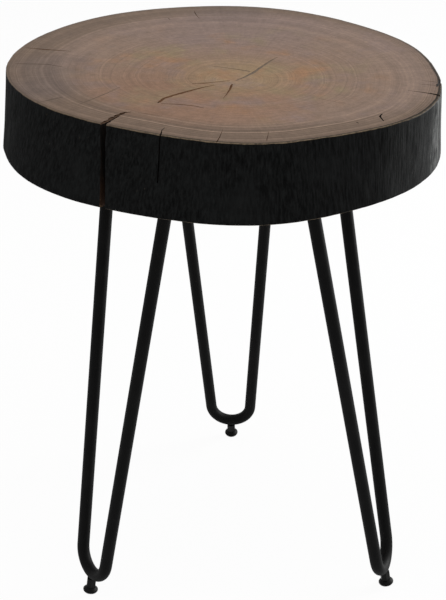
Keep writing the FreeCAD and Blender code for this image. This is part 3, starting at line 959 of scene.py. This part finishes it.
CRACKS = (
    Crack(
        ((-106, -160.5, 5.0), (-92.5, -139.5, 4.8), (-88.5, -132, 2.0), (-83, -121.5, 1.0),
         (-78, -114, 0.4)),
        depth=72.0, wall=Wall.STAINED, lean=9.5, floor=1.0, ragged=0.18,
    ),
    Crack(
        ((-96, -145, 5.0), (-92.5, -139.2, 5.2), (-88.5, -131.6, 5.0), (-82.6, -120.8, 4.6),
         (-77.2, -113.6, 2.8), (-71.5, -112.2, 0.9)),
        depth=0.8, wall=Wall.DUSTY, floor=0.95, ragged=0.35,
    ),
    Crack(
        ((-48, -176, 1.5), (-45.5, -163, 1.2), (-45, -154.4, 0.7), (-42.8, -148.9, 0.3)),
        depth=51.0, wall=Wall.STAINED, lean=-1.3, floor=0.6,
    ),
    Crack(
        ((206, -88, 3.2), (185.5, -78.5, 2.6), (178.3, -73, 1.8), (171, -69.8, 1.2), (160.5, -65.2, 0.4)),
        depth=45.0, wall=Wall.STAINED, lean=1.0, floor=0.5,
    ),
    Crack(
        ((204, -27, 2.0), (193, -38, 5.0), (188, -50, 2.4), (186, -57, 0.4)),
        depth=9.0, wall=Wall.STAINED, floor=0.6, ragged=0.4,
    ),
    Crack(((175, -39.5, 0.3), (183, -42, 1.1), (188, -44.5, 0.6)), depth=0.8, wall=Wall.DUSTY),
    Crack(((172, -49, 0.3), (181, -51.5, 1.2), (187, -53, 0.8)), depth=0.8, wall=Wall.DUSTY),
    Crack(((-51, -91, 1.4), (-49.5, -88, 1.8)), depth=2.5, wall=Wall.STAINED),
    Crack(
        ((-50, -89.6, 2.2), (-46.8, -81, 3.0), (-39.1, -73.3, 3.0), (-27, -63.4, 2.6), (-11.9, -52, 1.2),
         (-4, -47, 0.4)),
        depth=0.25, floor=1.0,
    ),
    Crack(
        ((-23, -43.4, 0.6), (-12.8, -42.2, 1.6), (-2.5, -39.2, 1.0), (9.7, -35.8, 0.5)),
        depth=0.2, floor=1.0,
    ),
    Crack(
        ((-48, -92.6, 0.6), (-32, -95.4, 1.1), (-19.7, -99.4, 1.0), (-12.2, -104.4, 0.4)),
        depth=0.2, floor=1.0,
    ),
    Crack(
        ((11.5, -45, 0.8), (10.9, -49, 1.8), (9.5, -59, 1.6), (6.1, -72.9, 0.8), (3.5, -81.6, 0.3)),
        depth=0.3, floor=1.0,
    ),
    Crack(
        ((14.9, -35.9, 1.2), (23.7, -24.9, 2.0), (30.9, -14, 2.8), (38.3, 1.8, 2.2), (47.8, 20, 1.4),
         (53, 28, 0.5)),
        depth=0.2, wall=Wall.GREY, floor=1.0,
    ),
    Crack(
        ((-6.2, 4.4, 0.4), (14.3, -4.5, 1.0), (27.4, -11.7, 1.4)), depth=0.15, wall=Wall.GREY, floor=1.0,
    ),
    Crack(
        ((133.4, -121.5, 1.4), (130.6, -126.8, 2.4), (132.5, -138.2, 1.2)), depth=2.0, wall=Wall.STAINED,
    ),
    Crack(((110.6, -140.2, 1.2), (112, -142.6, 1.2)), depth=1.6, wall=Wall.STAINED),
    Crack(((-50, 152, 1.2), (-48, 149.5, 1.2)), depth=1.6, wall=Wall.STAINED),
    Crack(
        ((-179, 62, 0.7), (-158.7, 55.6, 2.0), (-142.7, 52.2, 1.0), (-136, 51, 0.3)),
        depth=0.4, floor=0.9,
    ),
    Crack(
        ((-183, 15.7, 0.6), (-154.2, 13, 1.2), (-139.1, 5, 0.4)), depth=0.3, wall=Wall.GREY, floor=0.9,
    ),
    Crack(
        ((-117, -94, 0.5), (-104.9, -78.9, 1.2), (-95.7, -66.9, 1.0), (-84.8, -50.2, 0.3)),
        depth=0.2, wall=Wall.GREY, floor=1.0,
    ),
    Crack(
        ((-152, -88, 0.5), (-140, -80.5, 1.0), (-131.4, -74.6, 0.4)),
        depth=0.2, wall=Wall.GREY, floor=1.0,
    ),
    Crack(((-25, 178, 0.6), (-23, 165, 1.2), (-19.5, 151, 0.4)), depth=1.0),
    Crack(((-1.5, -182, 1.1), (1, -170, 0.9), (3.5, -153, 0.2)), depth=2.0),
    Crack(((37.5, -180, 1.0), (38, -174, 0.9), (40, -158, 0.2)), depth=1.6),
    Crack(((-71, -114, 0.6), (-60, -117, 0.7), (-46, -121.5, 0.3)), depth=1.0),
    Crack(((82, -82, 0.4), (100, -95, 0.9), (118, -108, 0.4)), depth=0.4, wall=Wall.PALE),
)


@dataclass
class HairpinLeg:
    """One leg: plate, bent bar and weld beads.

    The weld's flank is in millimetres in from its toe and down from the plate.
    """

    leg: Leg
    plate_inset: float
    bearing: float
    turn: float
    slab_radius: float = 190 * MM
    underside: float = 444 * MM
    bar: float = 12 * MM
    bar_sides: int = 48
    spread: float = 102.7 * MM
    bend: float = 22.3 * MM
    bend_steps: int = 40
    splay: float = 9.69
    foot_dome: float = 20 * MM
    bend_above_foot: float = 22.2 * MM
    plate_overhang: float = 13.65 * MM
    plate_width: float = 46 * MM
    plate_thick: float = 4 * MM
    plate_corner: float = 8 * MM
    corner_steps: int = 10
    plate_edge: float = 0.5 * MM
    edge_steps: int = 3
    edge_angle: float = 60.0
    weld_toe: float = 9.8 * MM
    weld_height: float = 4.8 * MM
    weld_flank: Tuple[Point, ...] = ((0.5, 0.9), (1.6, 2.2), (2.7, 3.7))
    weld_lip: float = 0.15 * MM
    weld_overlap: float = 0.4 * MM
    weld_margin: float = 0.1 * MM
    weld_steps: int = 136
    ripples: int = 17
    ripple_depth: float = 0.5 * MM
    ripple_twist: float = 700.0

    def frame(self) -> Matrix:
        """The leg's frame.

        Returns:
            X the way it leans, Y along its plate, level with the slab's underside.
        """
        reach = self.slab_radius - self.plate_inset
        angle = math.radians(self.bearing)
        place = Matrix.Translation((math.cos(angle) * reach, math.sin(angle) * reach, self.underside))
        return place @ Matrix.Rotation(math.radians(self.turn), 4, "Z")

    def plane(self) -> Matrix:
        """The bent bar's plane.

        Returns:
            X along the plate and Y up the slope of the leg.
        """
        lean = Matrix.Rotation(-math.radians(self.splay), 4, "Y")
        stand = Matrix(((0, 0, 1, 0), (1, 0, 0, 0), (0, 1, 0, 0), (0, 0, 0, 1)))
        return self.frame() @ lean @ stand

    def reach(self) -> float:
        """The leaning length from the slab's underside to the lowest point of the foot's dome."""
        slope = math.cos(math.radians(self.splay))
        return (self.underside - self.foot_dome) / slope + self.foot_dome

    def bent_bar(self) -> BMesh:
        """Sweep the round bar down one side, round the bend and up the other.

        Returns:
            The bar.
        """
        centre = Vector((0.0, -(self.reach() - self.bend_above_foot - self.bend), 0.0))
        end = Vector((self.spread / 2, 0.0, 0.0))
        aim = end - centre
        off = math.acos(self.bend / aim.length)
        start = math.atan2(aim.y, aim.x) - off
        touch = centre + Vector((math.cos(start), math.sin(start), 0.0)) * self.bend
        run = touch - end
        build = bmesh.new()
        turn = Vector((0, 0, 1)).rotation_difference(run.normalized()).to_matrix().to_4x4()
        bmesh.ops.create_circle(
            build, segments=self.bar_sides, radius=self.bar / 2, matrix=Matrix.Translation(end) @ turn
        )
        verts, loop = pull_out(build, list(build.edges))
        bmesh.ops.translate(build, verts=verts, vec=run)
        around = -(math.pi + 2 * start)
        swept = bmesh.ops.spin(
            build, geom=verts + loop, cent=centre, axis=(0, 0, 1), angle=around, steps=self.bend_steps,
            use_duplicate=False,
        )["geom_last"]
        last = [item for item in swept if isinstance(item, bmesh.types.BMEdge)]
        verts, loop = pull_out(build, last)
        bmesh.ops.translate(build, verts=verts, vec=Vector((run.x, -run.y, 0.0)))
        bmesh.ops.transform(build, matrix=self.plane(), verts=build.verts)
        bmesh.ops.bisect_plane(
            build,
            geom=list(build.verts) + list(build.edges) + list(build.faces),
            plane_co=(0, 0, self.underside - self.plate_thick),
            plane_no=(0, 0, 1),
            clear_outer=True,
        )
        bmesh.ops.holes_fill(build, edges=[edge for edge in build.edges if edge.is_boundary])
        return build

    def flat_plate(self) -> BMesh:
        """Make the plate, with its round corners and softened edges.

        Returns:
            The plate.
        """
        build = bmesh.new()
        bmesh.ops.create_cube(build, size=1.0)
        size = Vector((self.plate_width, self.spread + 2 * self.plate_overhang, self.plate_thick))
        bmesh.ops.scale(build, vec=size, verts=build.verts)
        upright = [edge for edge in build.edges if abs(edge.verts[0].co.z - edge.verts[1].co.z) > MM]
        bmesh.ops.bevel(
            build, geom=upright, offset=self.plate_corner, affect="EDGES", segments=self.corner_steps,
            profile=0.5, material=-1,
        )
        sharp = math.radians(self.edge_angle)
        rims = [edge for edge in build.edges if abs(edge.calc_face_angle(0.0)) > sharp]
        bmesh.ops.bevel(
            build, geom=rims, offset=self.plate_edge, affect="EDGES", segments=self.edge_steps,
            profile=0.5, material=-1,
        )
        sink = Matrix.Translation((0, 0, -self.plate_thick / 2))
        bmesh.ops.transform(build, matrix=self.frame() @ sink, verts=build.verts)
        return build

    def weld_beads(self) -> BMesh:
        """Lay a rippled bead round each end of the bar.

        Returns:
            The beads.
        """
        build = bmesh.new()
        core = self.bar / 2 - self.weld_overlap
        section = (
            (core, 0.0),
            (self.weld_toe, 0.0),
            *((self.weld_toe - inward * MM, -down * MM) for inward, down in self.weld_flank),
            (self.bar / 2 + self.weld_lip, -self.weld_height),
            (core, -self.weld_height),
        )
        for side in (-1.0, 1.0):
            verts = [build.verts.new((out, 0.0, up)) for out, up in section]
            edges = [build.edges.new(pair) for pair in zip(verts, verts[1:] + verts[:1])]
            before = set(build.verts)
            bmesh.ops.spin(
                build, geom=verts + edges, cent=(0, 0, 0), axis=(0, 0, 1), angle=FULL_TURN,
                steps=self.weld_steps, use_merge=True, use_duplicate=False,
            )
            bead = [vert for vert in build.verts if vert not in before or vert in verts]
            for vert in bead:
                out = math.hypot(vert.co.x, vert.co.y)
                angle = math.atan2(vert.co.y, vert.co.x)
                swell = 0.5 + 0.5 * math.sin(self.ripples * angle + self.ripple_twist * vert.co.z)
                if out > core + self.weld_margin and vert.co.z < -self.weld_margin:
                    ease = 1.0 - self.ripple_depth * (1.0 - swell) / out
                    vert.co.x *= ease
                    vert.co.y *= ease
            out = self.plate_thick * math.tan(math.radians(self.splay))
            spot = Matrix.Translation((out, side * self.spread / 2, -self.plate_thick))
            bmesh.ops.transform(build, matrix=self.frame() @ spot, verts=bead)
        bmesh.ops.remove_doubles(build, verts=build.verts, dist=MERGE)
        return build

    def build(self, coat: Material) -> List[Piece]:
        """Build the leg and set it on the table.

        Args:
            coat: the leg's coating.

        Returns:
            The leg's objects.
        """
        shapes = (
            ("bent_bar", "hairpin_bar", self.bent_bar()),
            ("flat_plate", "mounting_plate", self.flat_plate()),
            ("weld_beads", "plate_welds", self.weld_beads()),
        )
        made = []
        for name, node, shape in shapes:
            bmesh.ops.recalc_face_normals(shape, faces=shape.faces)
            piece = blank(f"{name}_{self.leg.value}", shape, (coat,))
            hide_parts(f"{node}_{self.leg.value}")
            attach(piece, "table")
            made.append(piece)
        return made


@dataclass
class FootBase:
    """The base a leg's foot swivels on: a shallow dome, round flanks and a pocket for the stud.

    The flank and the hollow are in millimetres out from the axis and up from the dome's lowest
    point.
    """

    leg: HairpinLeg
    dome_edge: float = 6.3 * MM
    dome_steps: int = 8
    flank: Tuple[Point, ...] = (
        (6.62, 1.43), (6.92, 1.80), (7.13, 2.20), (7.27, 2.65), (7.30, 3.05), (7.27, 3.45), (7.16, 3.82),
        (6.95, 4.10), (6.55, 4.50), (6.05, 4.97), (5.60, 5.40), (5.22, 5.75), (4.90, 6.00), (4.60, 6.14),
        (4.25, 6.20),
    )
    hollow: Tuple[Point, ...] = ((2.2, 6.2), (2.2, 2.9), (3.1, 2.9), (3.1, 1.9), (0.0, 1.9))
    steps: int = 72

    def section(self) -> List[Vector]:
        """The half section.

        Returns:
            Its points, from the lowest point of the dome round to the pocket's floor.
        """
        dome = self.leg.foot_dome
        foot = -self.leg.reach()
        points = []
        for step in range(self.dome_steps + 1):
            out = self.dome_edge * step / self.dome_steps
            points.append(Vector((out, foot + dome - math.sqrt(dome**2 - out**2), 0.0)))
        points += [Vector((out * MM, foot + up * MM, 0.0)) for out, up in self.flank + self.hollow]
        return points

    def build(self, material: Material) -> Piece:
        """Turn the base and parent it to its body's empty.

        Args:
            material: the base's material.

        Returns:
            The base's object.
        """
        build = bmesh.new()
        verts = [build.verts.new(point) for point in self.section()]
        edges = [build.edges.new(pair) for pair in zip(verts, verts[1:])]
        bmesh.ops.spin(
            build, geom=verts + edges, cent=(0, 0, 0), axis=(0, 1, 0), angle=FULL_TURN, steps=self.steps,
            use_merge=True, use_duplicate=False,
        )
        bmesh.ops.remove_doubles(build, verts=build.verts, dist=MERGE)
        bmesh.ops.transform(build, matrix=self.leg.plane(), verts=build.verts)
        bmesh.ops.recalc_face_normals(build, faces=build.faces)
        node = f"foot_base_{self.leg.leg.value}"
        piece = blank(f"turned_base_{self.leg.leg.value}", build, (material,))
        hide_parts(node)
        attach(piece, node)
        return piece


def dress(node: str, material: Material) -> None:
    """Give a carried-over solid its finish.

    Args:
        node: the solid's name.
        material: the finish.
    """
    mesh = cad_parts[node].data
    mesh.materials.clear()
    mesh.materials.append(material)


@dataclass(frozen=True)
class Lamp:
    """A soft lamp: where it hangs, what it points at, its width and height, and its watts."""

    name: str
    spot: Triple
    aim: Triple
    size: Point
    watts: float

    def hang(self) -> None:
        """Add the lamp to the scene."""
        light = bpy.data.lights.new(self.name, "AREA")
        light.shape = "RECTANGLE"
        light.size, light.size_y = self.size
        light.energy = self.watts
        lamp = bpy.data.objects.new(self.name, light)
        lamp.location = self.spot
        lamp.rotation_euler = (Vector(self.aim) - Vector(self.spot)).to_track_quat("-Z", "Y").to_euler()
        bpy.context.scene.collection.objects.link(lamp)


@dataclass
class Studio:
    """A white floor, soft light from above and the sides, and the photograph's camera."""

    eye: Triple = (5.513 * MM, -1243.019 * MM, 920.643 * MM)
    pitch: float = 27.4403
    yaw: float = -0.1737
    roll: float = -0.524
    focal_pixels: float = 1455.56
    image_height: int = 600
    film: float = 36.0
    sight: float = 50.0
    floor_size: float = 12.0
    floor_shade: Colour = (0.86, 0.86, 0.86)
    floor_rough: float = 0.9
    floor_glow: float = 0.96
    world_light: float = 0.28
    world_seen: float = 1.0
    lamps: Tuple[Lamp, ...] = (
        Lamp("overhead", (0.05, -0.15, 2.4), (0.0, 0.0, 0.45), (2.2, 1.8), 22.0),
        Lamp("right_side", (2.1, 1.05, 0.65), (0.0, 0.0, 0.4), (0.9, 1.2), 72.0),
        Lamp("left_front", (-1.8, -1.6, 1.5), (0.0, 0.0, 0.35), (1.2, 1.2), 1.0),
    )

    def camera(self) -> None:
        """Place the camera and make it the scene's own."""
        pitch, yaw, roll = (math.radians(angle) for angle in (self.pitch, self.yaw, self.roll))
        lens = bpy.data.cameras.new("camera")
        lens.sensor_fit = "VERTICAL"
        lens.sensor_height = self.film
        lens.lens = self.focal_pixels * self.film / self.image_height
        lens.clip_end = self.sight
        camera = bpy.data.objects.new("camera", lens)
        aim = Matrix.Rotation(-yaw, 4, "Z") @ Matrix.Rotation(math.pi / 2 - pitch, 4, "X")
        turn = aim @ Matrix.Rotation(roll, 4, "Z")
        camera.matrix_world = Matrix.Translation(self.eye) @ turn
        bpy.context.scene.collection.objects.link(camera)
        bpy.context.scene.camera = camera

    def floor(self) -> None:
        """Lay the floor: white to the eye and in reflections, with the table's soft shadow."""
        build = bmesh.new()
        bmesh.ops.create_grid(build, x_segments=1, y_segments=1, size=self.floor_size / 2)
        material = bpy.data.materials.new("pale_floor")
        graph = Graph(material)
        graph.set(base_color=self.floor_shade, roughness=self.floor_rough, specular_ior_level=0.0)
        seen = graph.times(graph.in_view(), self.floor_glow)
        glow = graph.node("Emission").outputs[0]
        mixer = graph.node("MixShader", {0: seen, 1: graph.shader.outputs[0], 2: glow})
        graph.feed(graph.tree.nodes["Material Output"].inputs["Surface"], mixer.outputs[0])
        ground = blank("floor", build, (material,))

    def world(self) -> None:
        """Surround the scene with even white, dimmer as light than to the eye."""
        world = bpy.data.worlds.new("studio")
        bpy.context.scene.world = world
        graph = Graph(world)
        back = graph.tree.nodes["Background"]
        graph.feed(back.inputs["Color"], (1.0, 1.0, 1.0))
        levels = {"Value": graph.in_view(), "To Min": self.world_light, "To Max": self.world_seen}
        graph.feed(back.inputs["Strength"], graph.node("MapRange", levels).outputs["Result"])

    def build(self) -> None:
        """Set up the whole studio."""
        bpy.context.scene.view_settings.view_transform = "Standard"
        self.world()
        self.floor()
        self.camera()
        for lamp in self.lamps:
            lamp.hang()


POWDER_COAT = Coating(
    "powder_coat", paint(19, 19, 19), paint(26, 26, 26), rough=0.58, skin=0.12, shine=0.05
)
BLACK_OXIDE = Coating(
    "black_oxide", paint(14, 14, 14), paint(20, 20, 19), rough=0.38, skin=0.08, shine=0.10
)
ZINC_PLATE = Coating(
    "zinc_plate", paint(178, 180, 184), paint(196, 196, 194), rough=0.36, skin=0.08, shine=0.5, metal=1.0
)
MOULDED_NYLON = Coating(
    "moulded_nylon", paint(13, 13, 13), paint(18, 18, 18), rough=0.55, skin=0.2, shine=0.08
)

LEGS = (
    HairpinLeg(Leg.FRONT_LEFT, plate_inset=102.8 * MM, bearing=217.3, turn=214.0),
    HairpinLeg(Leg.FRONT_RIGHT, plate_inset=80.2 * MM, bearing=325.2, turn=341.8),
    HairpinLeg(Leg.REAR, plate_inset=74.8 * MM, bearing=88.3, turn=85.4),
)


def main() -> None:
    """Build every piece in order, then the studio, and log each piece's face count."""
    logging.basicConfig(level=logging.INFO, format="%(message)s")
    pieces = [TrunkSlab(CRACKS).build()]
    coat, oxide, zinc, nylon = (
        finish.material() for finish in (POWDER_COAT, BLACK_OXIDE, ZINC_PLATE, MOULDED_NYLON)
    )
    for leg in LEGS:
        pieces += leg.build(coat)
        pieces.append(FootBase(leg).build(nylon))
        dress(f"plate_screws_{leg.leg.value}", zinc)
        dress(f"foot_stud_{leg.leg.value}", oxide)
    for piece in pieces:
        LOG.info("%s: %d faces", piece.name, len(piece.data.polygons))
    Studio().build()


if __name__ == "__main__":
    main()
